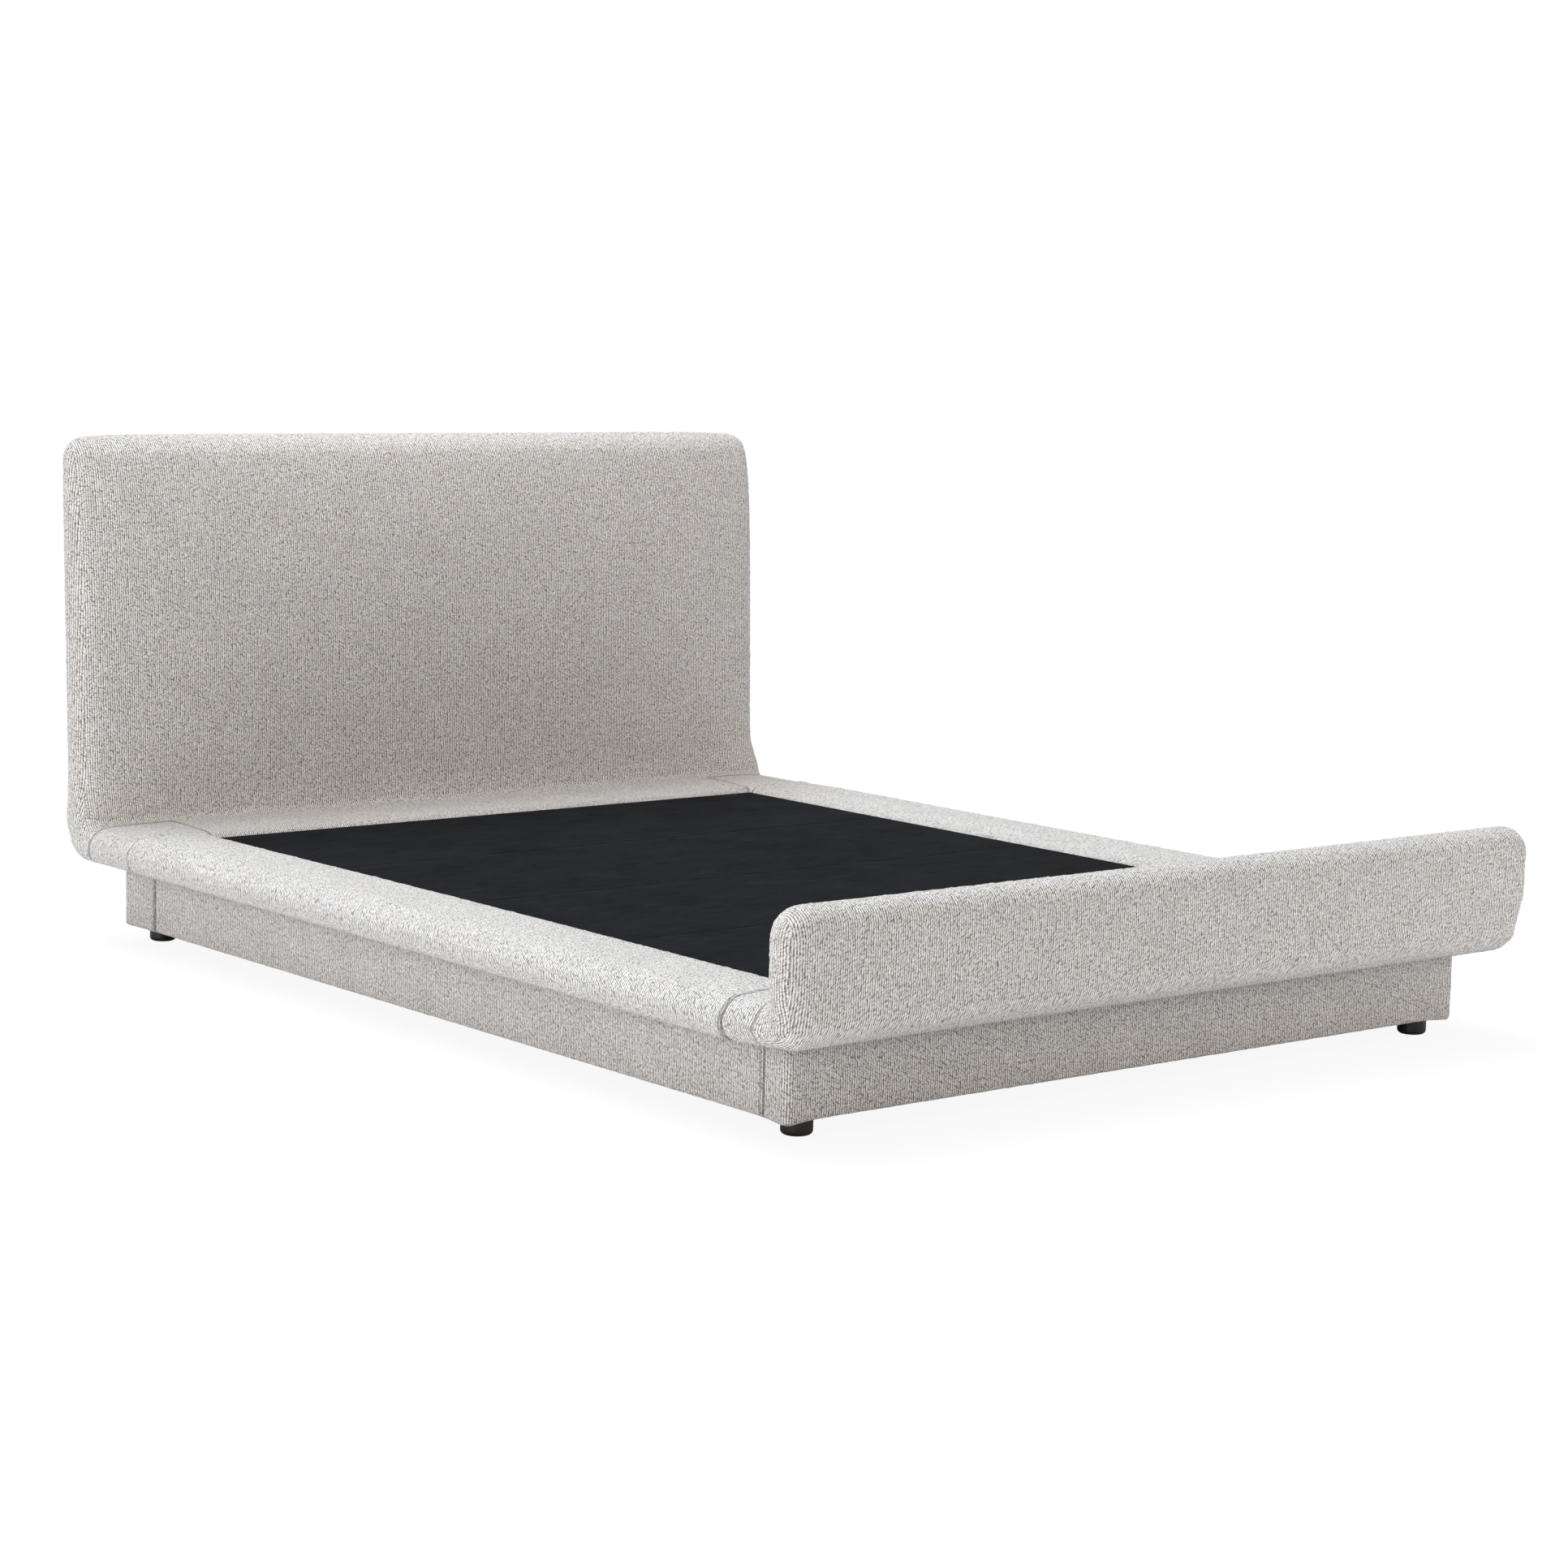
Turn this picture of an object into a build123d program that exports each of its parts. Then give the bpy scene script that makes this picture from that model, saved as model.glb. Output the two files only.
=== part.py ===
from build123d import *
import math
import os

# Upholstered platform bed with a raised headboard, a low footboard and a recessed plinth.
# Millimetres, +Z up, headboard at +Y, footboard at -Y, floor at Z = 0.

# Overall sizes
HALF_WIDTH = 1000.0
SKIN = 3.0                      # thickness of the bouclé with its backing
FOOT_HEIGHT = 35.0
PLINTH_BOTTOM = FOOT_HEIGHT
UNDERSIDE = 184.0               # underside of the overhanging padded ring
LEDGE_TOP = 268.0
DECK_TOP = 252.0

# Mattress well, sized for a 1524 x 2032 mattress
WELL_HALF = 779.0
WELL_BACK = 990.0
WELL_FRONT = -1076.0
FOOT_SEAM = -1166.0             # the rail covers meet the foot module here
HEAD_SEAM = WELL_BACK           # and the head module here

# Headboard
HEAD_FRONT = 1197.0
HEAD_THICK = 126.0
HEAD_TOP = 1161.0
HEAD_LEAN = 1.83                # degrees that the headboard leans back
HEEL_RADIUS = 110.0             # rounded corner under the back of the headboard
HEAD_ROUND = 58.0

# Footboard
FOOT_FRONT = -1350.0
FOOT_INNER = -1269.0
FOOT_TOP = 447.0
FOOT_HEEL = 62.0
FOOT_ROUND = 39.0
FOOT_END_ROUND = 33.0           # rounding of the footboard's two ends

BULLNOSE = 39.0                 # rounding of the ring's outer edge
INNER_ROLL = 24.0               # rounding where the ledge meets the deck

# Plinth
PLINTH_HALF = 900.0
PLINTH_FRONT = -1236.0
PLINTH_BACK = 1188.0
PLINTH_BACK_SEAM = 1045.0
PLINTH_CORNER = 16.0            # rounding of its upright corners
PLINTH_EASE = 9.0               # rounding of its bottom edge

# Boards and timber
BOARD = 18.0
LEDGE_BOARD_OUT = 958.0         # half-width that the ledge boards reach
LEDGE_BOARD_LOW = UNDERSIDE + SKIN
LEDGE_BOARD_HIGH = LEDGE_BOARD_LOW + BOARD
RAIL_THICK = 30.0
RAIL_DEEP = 118.0
DECK_SKIN = 1.5
DECK_PLY = 12.0
DECK_BOTTOM = DECK_TOP - DECK_PLY - 2 * DECK_SKIN
BEAM_HALF = 30.0
BEAM_DEEP = 90.0

FRAME_DEPTH = 40.0              # thickness of the headboard's timber frame
FRAME_HALF = 945.0
FRAME_LOW = 262.0
FRAME_HIGH = 1096.0
POST_WIDTH = 60.0
RAIL_HEIGHTS = {"bottom": (262.0, 342.0), "middle": (650.0, 710.0), "top": (1036.0, 1096.0)}
FACE_LOW = 352.0                # lower edge of the plywood behind the padded face
FACE_PLY = 9.0
BACK_PLY = 4.0
BACK_PAD = 6.0                  # thin wadding over the headboard's back panel
GUSSET_PLACES = (-840.0, -290.0, 290.0, 840.0)
GUSSET_TOE = 110.0              # how far the gussets reach forward of the headboard's face
LEDGE_BOARD_BACK = HEAD_FRONT + 14.0

# Footboard's core
CORE_FRONT = FOOT_INNER - 41.0
CORE_BACK = FOOT_INNER - 16.0
CORE_HIGH = FOOT_TOP - 42.0
CLEAT_HALF = 900.0
CLEAT = 30.0

# Deck structure
BATTEN_WIDE = 70.0
BATTEN_DEEP = 22.0
HANGER_PLATE = 3.0
HANGER_REACH = 48.0
HANGER_OPEN = 20.0              # how far the hangers stop below the top of the beam
PANEL_GAP = 0.5                 # clearance on each edge of a deck panel

# Feet, centre legs and glides
FOOT_RADIUS = 30.0
FOOT_X = 832.0
FOOT_Y_FRONT = -1184.0
FOOT_Y_BACK = 1128.0
LEG_HALF = 22.5
LEG_BOTTOM = 22.0
GLIDE_RADIUS = 16.0
GLIDE_CLEAR = 1.0               # gap under each glide as stored
GLIDE_PAD = 9.0
STUD_RADIUS = 4.0
STUD_CLEARANCE = 0.05
LEG_PLACES = {"front": -690.0, "middle": -43.0, "back": 604.0}
FOOT_RIM = 9.0
SCREW_HEAD = 8.0
SCREW_FROM = 6.0
SCREW_SEAT = 12.0
SCREW_TO = 85.0
CORNER_BLOCK = 90.0

# Corner brackets and their bolts
BRACKET_PLATE = 4.0
BRACKET_LONG = 70.0
BRACKET_SHORT = 60.0
BRACKET_BELOW = 40.0
BRACKET_ABOVE = 25.0
BOLT_HEAD = 7.0
BOLT_DEEP = 5.0

SIDES = {"left": -1, "right": 1}

os.makedirs("parts", exist_ok=True)


def save(shape, node):
    export_step(shape, f"parts/{node}.step")


def block(x0, x1, y0, y1, z0, z1):
    """An upright box between its corners."""
    corner = Pos(min(x0, x1), min(y0, y1), min(z0, z1))
    align = (Align.MIN, Align.MIN, Align.MIN)
    return corner * Box(abs(x1 - x0), abs(y1 - y0), abs(z1 - z0), align=align)


def rod(radius, x, y, z0, z1):
    """An upright round bar."""
    return Pos(x, y, z0) * Cylinder(radius, z1 - z0, align=(Align.CENTER, Align.CENTER, Align.MIN))


def rod_along_y(radius, x, z, y0, y1):
    """A round bar lying along the bed."""
    turned = Rot(-90, 0, 0) * Cylinder(radius, y1 - y0, align=(Align.CENTER, Align.CENTER, Align.MIN))
    return Pos(x, y0, z) * turned


def group(pieces):
    return Compound(children=list(pieces))


def rounded_side_profile(points, radii):
    """A closed outline in the YZ plane with each corner rounded, as a face."""
    count = len(points)
    edges = []
    ends = []
    for i in range(count):
        here = Vector(0, *points[i])
        before = (Vector(0, *points[i - 1]) - here).normalized()
        after = (Vector(0, *points[(i + 1) % count]) - here).normalized()
        half = math.radians(before.get_angle(after)) / 2
        reach = radii[i] / math.tan(half)
        start = here + before * reach
        stop = here + after * reach
        if radii[i] > 0:
            middle = here + (before + after).normalized() * (radii[i] / math.sin(half) - radii[i])
            edges.append(ThreePointArc(start, middle, stop))
        ends.append((start, stop))
    for i in range(count):
        start = ends[i][1]
        stop = ends[(i + 1) % count][0]
        if (stop - start).length > 0.001:
            edges.append(Line(start, stop))
    return make_face(Wire(edges))


def along_x(face, half_width):
    """The profile drawn out to both sides of the centre plane."""
    return Pos(-half_width, 0, 0) * extrude(face, 2 * half_width, dir=(1, 0, 0))


def lean(shape):
    """Tilts a piece of the headboard back about the top of the ledge."""
    pivot = Axis((0, HEAD_FRONT, LEDGE_TOP), (1, 0, 0))
    return shape.rotate(pivot, -HEAD_LEAN)


def end_edges(solid, half_width, seam):
    """The edges round both end faces, without those on the seam plane."""
    found = []
    for edge in solid.edges():
        middle = edge.center()
        on_end = abs(abs(middle.X) - half_width) < 0.01
        if on_end and abs(middle.Y - seam) > 0.01:
            found.append(edge)
    return found


# ---------------------------------------------------------------- padded modules

def head_module(inset):
    """Ledge and headboard in one L, drawn in by the inset on every covered side."""
    slope = math.tan(math.radians(HEAD_LEAN))
    top = HEAD_TOP - inset
    front = HEAD_FRONT + inset
    back = HEAD_FRONT + HEAD_THICK - inset
    rise = (top - LEDGE_TOP) * slope            # how far the lean carries the top back
    points = [
        (HEAD_SEAM, UNDERSIDE + inset),
        (HEAD_SEAM, LEDGE_TOP - inset),
        (front, LEDGE_TOP - inset),
        (front + rise, top),
        (back + rise, top),
        (back, UNDERSIDE + inset),
    ]
    radii = [0, 0, 0, HEAD_ROUND - inset, HEAD_ROUND - inset, HEEL_RADIUS - inset]
    solid = along_x(rounded_side_profile(points, radii), HALF_WIDTH - inset)
    return fillet(end_edges(solid, HALF_WIDTH - inset, HEAD_SEAM), BULLNOSE - inset)


def foot_module(inset):
    """Footboard and its ledge in one L, with a tongue that closes the mattress well."""
    top = FOOT_TOP - inset
    points = [
        (FOOT_SEAM, UNDERSIDE + inset),
        (FOOT_SEAM, LEDGE_TOP - inset),
        (FOOT_INNER - inset, LEDGE_TOP - inset),
        (FOOT_INNER - inset, top),
        (FOOT_FRONT + inset, top),
        (FOOT_FRONT + inset, UNDERSIDE + inset),
    ]
    radii = [0, 0, 0, FOOT_ROUND - inset, FOOT_ROUND - inset, FOOT_HEEL - inset]
    solid = along_x(rounded_side_profile(points, radii), HALF_WIDTH - inset)
    solid = fillet(end_edges(solid, HALF_WIDTH - inset, FOOT_SEAM), FOOT_END_ROUND - inset)
    reach = WELL_HALF - inset
    return solid + block(
        -reach, reach, FOOT_SEAM - 1, WELL_FRONT - inset, UNDERSIDE + inset, LEDGE_TOP - inset
    )


def rail_module(inset, side):
    """The padded side ledge between its two seams."""
    solid = block(
        side * (WELL_HALF + inset), side * (HALF_WIDTH - inset),
        FOOT_SEAM, HEAD_SEAM, UNDERSIDE + inset, LEDGE_TOP - inset,
    )
    outer = [e for e in solid.edges().filter_by(Axis.Y) if abs(e.center().X) > HALF_WIDTH - 10]
    solid = fillet(outer, BULLNOSE - inset)
    inner = [
        e for e in solid.edges().filter_by(Axis.Y)
        if abs(e.center().X) < WELL_HALF + 10 and e.center().Z > DECK_TOP
    ]
    return fillet(inner, INNER_ROLL - inset)


def headboard_frame():
    """Posts, rails and the two panels of the leaning headboard, by node name."""
    back = HEAD_FRONT + HEAD_THICK - SKIN - BACK_PAD
    rear = back - BACK_PLY
    front = rear - FRAME_DEPTH
    inner = FRAME_HALF - POST_WIDTH
    pieces = {
        "headboard_back_panel": block(-FRAME_HALF, FRAME_HALF, rear, back, FRAME_LOW, FRAME_HIGH),
        "headboard_face_panel": block(
            -FRAME_HALF, FRAME_HALF, front - FACE_PLY, front, FACE_LOW, FRAME_HIGH
        ),
    }
    for name, (low, high) in RAIL_HEIGHTS.items():
        pieces[f"headboard_rail_{name}"] = block(-inner, inner, front, rear, low, high)
    leaned = {node: lean(shape) for node, shape in pieces.items()}
    leaned["headboard_posts"] = group(
        lean(block(s * inner, s * FRAME_HALF, front, rear, FRAME_LOW, FRAME_HIGH)) for s in (-1, 1)
    )
    return leaned


def headboard_gussets():
    """Plywood gussets that stand the headboard frame on the ledge board."""
    front = HEAD_FRONT + HEAD_THICK - SKIN - BACK_PAD - BACK_PLY - FRAME_DEPTH - 1.0
    outline = [
        (HEAD_FRONT - GUSSET_TOE, LEDGE_BOARD_HIGH),
        (LEDGE_BOARD_BACK, LEDGE_BOARD_HIGH),
        (front, FRAME_LOW - 25),
        (front, FRAME_LOW + 75),
        (front - 30, FRAME_LOW + 75),
        (HEAD_FRONT + 13, LEDGE_TOP - 13),
        (HEAD_FRONT - GUSSET_TOE, LEDGE_BOARD_HIGH + 22),
    ]
    face = rounded_side_profile(outline, [0] * len(outline))
    return [Pos(x - BOARD / 2, 0, 0) * extrude(face, BOARD, dir=(1, 0, 0)) for x in GUSSET_PLACES]


def head_ledge_board():
    return block(
        -LEDGE_BOARD_OUT, LEDGE_BOARD_OUT, HEAD_SEAM, LEDGE_BOARD_BACK, LEDGE_BOARD_LOW, LEDGE_BOARD_HIGH
    )


def foot_ledge_board():
    wide = block(
        -LEDGE_BOARD_OUT, LEDGE_BOARD_OUT, CORE_BACK, FOOT_SEAM, LEDGE_BOARD_LOW, LEDGE_BOARD_HIGH
    )
    tongue = block(
        -WELL_HALF + SKIN, WELL_HALF - SKIN, FOOT_SEAM, WELL_FRONT - SKIN, LEDGE_BOARD_LOW, LEDGE_BOARD_HIGH
    )
    return wide + tongue


def footboard_core():
    return block(
        -FRAME_HALF, FRAME_HALF, CORE_FRONT, CORE_BACK, LEDGE_BOARD_LOW + 10, CORE_HIGH
    )


def footboard_cleat():
    low = LEDGE_BOARD_HIGH
    return block(-CLEAT_HALF, CLEAT_HALF, CORE_BACK, CORE_BACK + CLEAT, low, low + CLEAT)


def make_head():
    cover = head_module(0) - head_module(SKIN)
    save(cover, "headboard_cover")
    frame = headboard_frame()
    for node, shape in frame.items():
        save(shape, node)
    gussets = headboard_gussets()
    save(group(gussets), "headboard_gussets")
    board = head_ledge_board()
    save(board, "head_ledge_board")
    inner = head_module(SKIN)
    front = HEAD_FRONT + HEAD_THICK - SKIN - BACK_PAD - BACK_PLY - FRAME_DEPTH
    cavity = lean(block(
        -FRAME_HALF, FRAME_HALF, front, front + FRAME_DEPTH + BACK_PLY, FRAME_LOW, FRAME_HIGH
    ))
    foam = inner - cavity - frame["headboard_face_panel"] - board
    for gusset in gussets:
        foam = foam - gusset
    ledge_zone = block(-HALF_WIDTH - 10, HALF_WIDTH + 10, HEAD_SEAM - 10, HEAD_FRONT, 0, LEDGE_TOP + 100)
    save(foam & ledge_zone, "head_ledge_foam")
    save(foam - ledge_zone, "headboard_foam")


def make_foot():
    inner = foot_module(SKIN)
    save(foot_module(0) - inner, "footboard_cover")
    board = foot_ledge_board()
    core = footboard_core()
    cleat = footboard_cleat()
    save(board, "foot_ledge_board")
    save(core, "footboard_core")
    save(cleat, "footboard_cleat")
    foam = inner - board - core - cleat
    panel_zone = block(-HALF_WIDTH - 10, HALF_WIDTH + 10, FOOT_FRONT - 10, FOOT_INNER - SKIN, 0, FOOT_TOP + 10)
    save(foam & panel_zone, "footboard_foam")
    save(foam - panel_zone, "foot_ledge_foam")


def make_rails():
    for name, side in SIDES.items():
        inner = rail_module(SKIN, side)
        save(rail_module(0, side) - inner, f"{name}_rail_cover")
        board = block(
            side * (WELL_HALF + SKIN), side * LEDGE_BOARD_OUT,
            FOOT_SEAM, HEAD_SEAM, LEDGE_BOARD_LOW, LEDGE_BOARD_HIGH,
        )
        save(board, f"{name}_ledge_board")
        save(inner - board, f"{name}_rail_foam")


# ---------------------------------------------------------------- plinth

def plinth_solid(inset, top):
    """The whole plinth, rounded at its corners and along its bottom edge."""
    solid = block(
        -PLINTH_HALF + inset, PLINTH_HALF - inset, PLINTH_FRONT + inset, PLINTH_BACK - inset,
        PLINTH_BOTTOM + inset, top,
    )
    solid = fillet(solid.edges().filter_by(Axis.Z), PLINTH_CORNER - inset)
    return fillet(solid.edges().group_by(Axis.Z)[0], PLINTH_EASE - inset)


def make_plinth():
    core = plinth_solid(SKIN, UNDERSIDE)
    inner = PLINTH_HALF - SKIN - BOARD
    front = PLINTH_FRONT + SKIN + BOARD
    back = PLINTH_BACK - SKIN - BOARD
    slabs = {
        "front": block(-HALF_WIDTH, HALF_WIDTH, 2 * PLINTH_FRONT, front, 0, UNDERSIDE),
        "back": block(-HALF_WIDTH, HALF_WIDTH, back, 2 * PLINTH_BACK, 0, UNDERSIDE),
        "left": block(-HALF_WIDTH, -inner, front, back, 0, UNDERSIDE),
        "right": block(inner, HALF_WIDTH, front, back, 0, UNDERSIDE),
    }
    for name, slab in slabs.items():
        save(core & slab, f"plinth_{name}_board")
    wrap = plinth_solid(0, UNDERSIDE) - core
    wrap = wrap - block(-inner, inner, front, back, 0, UNDERSIDE)
    reach = 2 * PLINTH_BACK
    zones = {
        "front": block(-reach, reach, -reach, FOOT_SEAM, 0, UNDERSIDE),
        "back": block(-reach, reach, PLINTH_BACK_SEAM, reach, 0, UNDERSIDE),
        "left": block(-reach, 0, FOOT_SEAM, PLINTH_BACK_SEAM, 0, UNDERSIDE),
        "right": block(0, reach, FOOT_SEAM, PLINTH_BACK_SEAM, 0, UNDERSIDE),
    }
    for name, zone in zones.items():
        save(wrap & zone, f"plinth_{name}_cover")


# ---------------------------------------------------------------- structure under the deck

def make_understructure():
    rail_top = DECK_BOTTOM
    rail_low = rail_top - RAIL_DEEP
    side_in = WELL_HALF - RAIL_THICK
    for name, side in SIDES.items():
        rail = block(
            side * side_in, side * WELL_HALF, WELL_FRONT, WELL_BACK, rail_low, rail_top
        )
        save(rail, f"{name}_side_rail")
    ends = {"foot": (WELL_FRONT, WELL_FRONT + RAIL_THICK), "head": (WELL_BACK - RAIL_THICK, WELL_BACK)}
    for name, (y0, y1) in ends.items():
        save(block(-side_in, side_in, y0, y1, rail_low, rail_top), f"{name}_cross_rail")
    beam_low = rail_top - BEAM_DEEP
    front = WELL_FRONT + RAIL_THICK
    back = WELL_BACK - RAIL_THICK
    plate = HANGER_PLATE
    save(block(-BEAM_HALF, BEAM_HALF, front + plate, back - plate, beam_low, rail_top), "centre_beam")
    hangers = []
    for y, inward in ((front, 1), (back, -1)):
        pocket = block(
            -BEAM_HALF - plate, BEAM_HALF + plate, y, y + inward * HANGER_REACH,
            beam_low - plate, rail_top - HANGER_OPEN,
        )
        room = block(
            -BEAM_HALF, BEAM_HALF, y + inward * plate, y + inward * (HANGER_REACH + 1), beam_low, rail_top
        )
        hangers.append(pocket - room)
    save(group(hangers), "beam_hangers")
    battens = []
    for y in panel_joints():
        for side in (-1, 1):
            battens.append(block(
                side * BEAM_HALF, side * side_in, y - BATTEN_WIDE / 2, y + BATTEN_WIDE / 2,
                rail_top - BATTEN_DEEP, rail_top,
            ))
    save(group(battens), "deck_battens")


def panel_joints():
    """Where the four deck panels meet."""
    length = (WELL_BACK - WELL_FRONT) / 4
    return [WELL_FRONT + i * length for i in (1, 2, 3)]


def make_deck():
    edges = [WELL_FRONT, *panel_joints(), WELL_BACK]
    for number in range(4):
        y0 = edges[number] + PANEL_GAP
        y1 = edges[number + 1] - PANEL_GAP
        half = WELL_HALF - PANEL_GAP
        wrapped = block(-half, half, y0, y1, DECK_BOTTOM, DECK_TOP)
        board = block(
            -half + DECK_SKIN, half - DECK_SKIN, y0 + DECK_SKIN, y1 - DECK_SKIN,
            DECK_BOTTOM + DECK_SKIN, DECK_TOP - DECK_SKIN,
        )
        save(board, f"deck_panel_{number + 1}")
        save(wrapped - board, f"deck_cloth_{number + 1}")


# ---------------------------------------------------------------- feet, legs and fasteners

def make_feet():
    places = {
        "front_left": (-FOOT_X, FOOT_Y_FRONT),
        "front_right": (FOOT_X, FOOT_Y_FRONT),
        "back_left": (-FOOT_X, FOOT_Y_BACK),
        "back_right": (FOOT_X, FOOT_Y_BACK),
    }
    screws = []
    blocks = []
    for name, (x, y) in places.items():
        foot = rod(FOOT_RADIUS, x, y, 0, FOOT_HEIGHT)
        foot = fillet(foot.edges().group_by(Axis.Z)[0], FOOT_RIM)
        foot = foot - rod(SCREW_HEAD + 2, x, y, -1, SCREW_SEAT)
        foot = foot - rod(STUD_RADIUS + 0.2, x, y, 0, FOOT_HEIGHT + 1)
        save(foot, f"foot_{name}")
        head = rod(SCREW_HEAD, x, y, SCREW_FROM, SCREW_SEAT)
        screws.append(head + rod(STUD_RADIUS, x, y, SCREW_SEAT, SCREW_TO))
        side = math.copysign(1, x)
        outer = PLINTH_HALF - SKIN - BOARD
        end = PLINTH_FRONT + SKIN + BOARD if y < 0 else PLINTH_BACK - SKIN - BOARD
        inward = 1 if y < 0 else -1
        post = block(
            side * outer, side * (outer - CORNER_BLOCK), end, end + inward * CORNER_BLOCK,
            PLINTH_BOTTOM, UNDERSIDE,
        )
        blocks.append(post - rod(STUD_RADIUS + STUD_CLEARANCE, x, y, 0, SCREW_TO + 5))
    save(group(screws), "foot_screws")
    save(group(blocks), "corner_blocks")


def make_centre_legs():
    top = DECK_BOTTOM - BEAM_DEEP
    for name, y in LEG_PLACES.items():
        leg = block(-LEG_HALF, LEG_HALF, y - LEG_HALF, y + LEG_HALF, LEG_BOTTOM, top)
        leg = leg - rod(STUD_RADIUS + STUD_CLEARANCE, 0, y, 0, LEG_BOTTOM + 48)
        save(leg, f"centre_leg_{name}")
        pad = rod(GLIDE_RADIUS, 0, y, GLIDE_CLEAR, GLIDE_CLEAR + GLIDE_PAD)
        pad = chamfer(pad.edges().group_by(Axis.Z)[0], 2)
        stud = rod(STUD_RADIUS, 0, y, GLIDE_CLEAR + GLIDE_PAD, LEG_BOTTOM + 36)
        save(pad + stud, f"glide_{name}")


def make_fasteners():
    """Steel brackets in the corners of the deck's rails, with a pair of bolt heads on each."""
    level = DECK_BOTTOM - 0.5 * RAIL_DEEP
    ends = ((WELL_FRONT + RAIL_THICK, -1), (WELL_BACK - RAIL_THICK, 1))
    low, high = level - BRACKET_BELOW, level + BRACKET_ABOVE
    brackets = []
    bolts = []
    for side in (-1, 1):
        for y, outward in ends:
            inner = side * (WELL_HALF - RAIL_THICK)
            face = y - outward * BRACKET_PLATE
            plate = block(inner, inner - side * BRACKET_PLATE, y, y - outward * BRACKET_LONG, low, high)
            flange = block(inner, inner - side * BRACKET_SHORT, y, face, low, high)
            brackets.append(plate + flange)
            for z in (level - 25, level + 10):
                x = inner - side * 40
                y0 = min(face, face - outward * BOLT_DEEP)
                bolts.append(rod_along_y(BOLT_HEAD, x, z, y0, y0 + BOLT_DEEP))
    save(group(brackets), "corner_brackets")
    save(group(bolts), "bracket_bolts")


make_head()
make_foot()
make_rails()
make_plinth()
make_understructure()
make_deck()
make_feet()
make_centre_legs()
make_fasteners()
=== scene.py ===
"""The visual model of an upholstered headboard bed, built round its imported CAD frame."""
import math

import bpy
import numpy as np
from mathutils import Matrix, Vector
from mathutils.kdtree import KDTree


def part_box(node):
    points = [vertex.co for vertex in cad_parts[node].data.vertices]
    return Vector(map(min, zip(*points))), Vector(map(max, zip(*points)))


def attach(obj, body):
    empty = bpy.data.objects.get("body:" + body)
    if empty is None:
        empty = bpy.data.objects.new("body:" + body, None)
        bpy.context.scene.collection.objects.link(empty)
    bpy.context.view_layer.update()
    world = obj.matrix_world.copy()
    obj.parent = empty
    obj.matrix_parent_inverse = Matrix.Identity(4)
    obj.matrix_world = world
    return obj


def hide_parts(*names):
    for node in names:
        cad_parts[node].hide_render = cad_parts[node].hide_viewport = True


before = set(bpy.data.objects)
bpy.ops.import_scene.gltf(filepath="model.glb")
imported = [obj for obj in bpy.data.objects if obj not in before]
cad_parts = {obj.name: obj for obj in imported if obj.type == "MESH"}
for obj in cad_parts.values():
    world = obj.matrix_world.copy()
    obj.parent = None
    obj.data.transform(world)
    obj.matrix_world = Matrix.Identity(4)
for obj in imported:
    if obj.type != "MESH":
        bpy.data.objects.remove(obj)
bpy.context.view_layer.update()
ROOT = "root"
rng = np.random.default_rng(11)

# ---------------------------------------------------------------- sizes read from the frame

head_low, head_high = (np.array(corner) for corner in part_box("headboard_cover"))
foot_low, foot_high = (np.array(corner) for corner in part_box("footboard_cover"))
rail_low, rail_high = (np.array(corner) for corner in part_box("left_rail_cover"))
plinth_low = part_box("plinth_front_cover")[0]
plinth_back_low, plinth_back_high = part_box("plinth_back_cover")

HALF = -float(head_low[0])
UNDER = float(rail_low[2])
LEDGE = float(rail_high[2])
WELL_HALF = -float(rail_high[0])
WELL_BACK = float(rail_high[1])
WELL_FRONT = float(foot_high[1])
FOOT_SEAM = float(rail_low[1])
HEAD_SEAM = WELL_BACK
HEAD_TOP = float(head_high[2])
FOOT_TOP = float(foot_high[2])
FOOT_FRONT = float(foot_low[1])
PLINTH_HALF = -float(plinth_low[0])
PLINTH_FRONT = float(plinth_low[1])
PLINTH_LOW = float(plinth_low[2])
PLINTH_BACK = float(plinth_back_high[1])
PLINTH_BACK_SEAM = float(plinth_back_low[1])

LEAN = math.tan(math.radians(1.83))     # the headboard leans back by this much for each metre up
HEAD_THICK = 0.126
HEAD_FACE = 0.9             # height of the headboard's face above the ledge
HEAD_FRONT = 1.197          # where the headboard's face meets the ledge
HEAD_BACK = HEAD_FRONT + HEAD_THICK
FOOT_THICK = 0.081
FOOT_INNER = FOOT_FRONT + FOOT_THICK

HEAD_ROUND = 0.056          # radius of the headboard's edges and of its corners
FOOT_ROUND = 0.0385         # radius of the footboard's edges
FOOT_CORNER = 0.060         # radius of the footboard's two upper corners
FOOT_FULLER = 0.036         # how much rounder the footboard's edge is where it meets its heel
LOW_CORNER = 0.056          # radius of its two lower corners, and how much rounder each one is in front
LEFT_ROUNDER = 0.014
RIGHT_ROUNDER = 0.042
BULLNOSE_LOW = 0.033
BULLNOSE_HIGH = 0.046
NOSE = 0.040                # the same edge's mean radius, for the weave
INNER_ROLL = 0.030          # radius where the ledge turns down into the well
HEEL = 0.110                # radius where the underside curves up into the back of the headboard
FOOT_HEEL = 0.062
CREASE = 0.014              # radius of the inside corner between ledge and headboard
FOOT_CREASE = 0.026
CROWN = 0.006               # how far the headboard's face bulges in its middle
LEDGE_DROOP = 0.008         # how far the cushioned ledge falls towards both its edges
SEAM_TUCK = 0.0022
SEAM_GAP = 0.0003
STITCH_DEPTH = 0.0022       # how far the stitching draws the cloth in
STITCH_OFF = 0.0048         # the topstitching runs this far either side of a seam


# ---------------------------------------------------------------- camera

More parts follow.
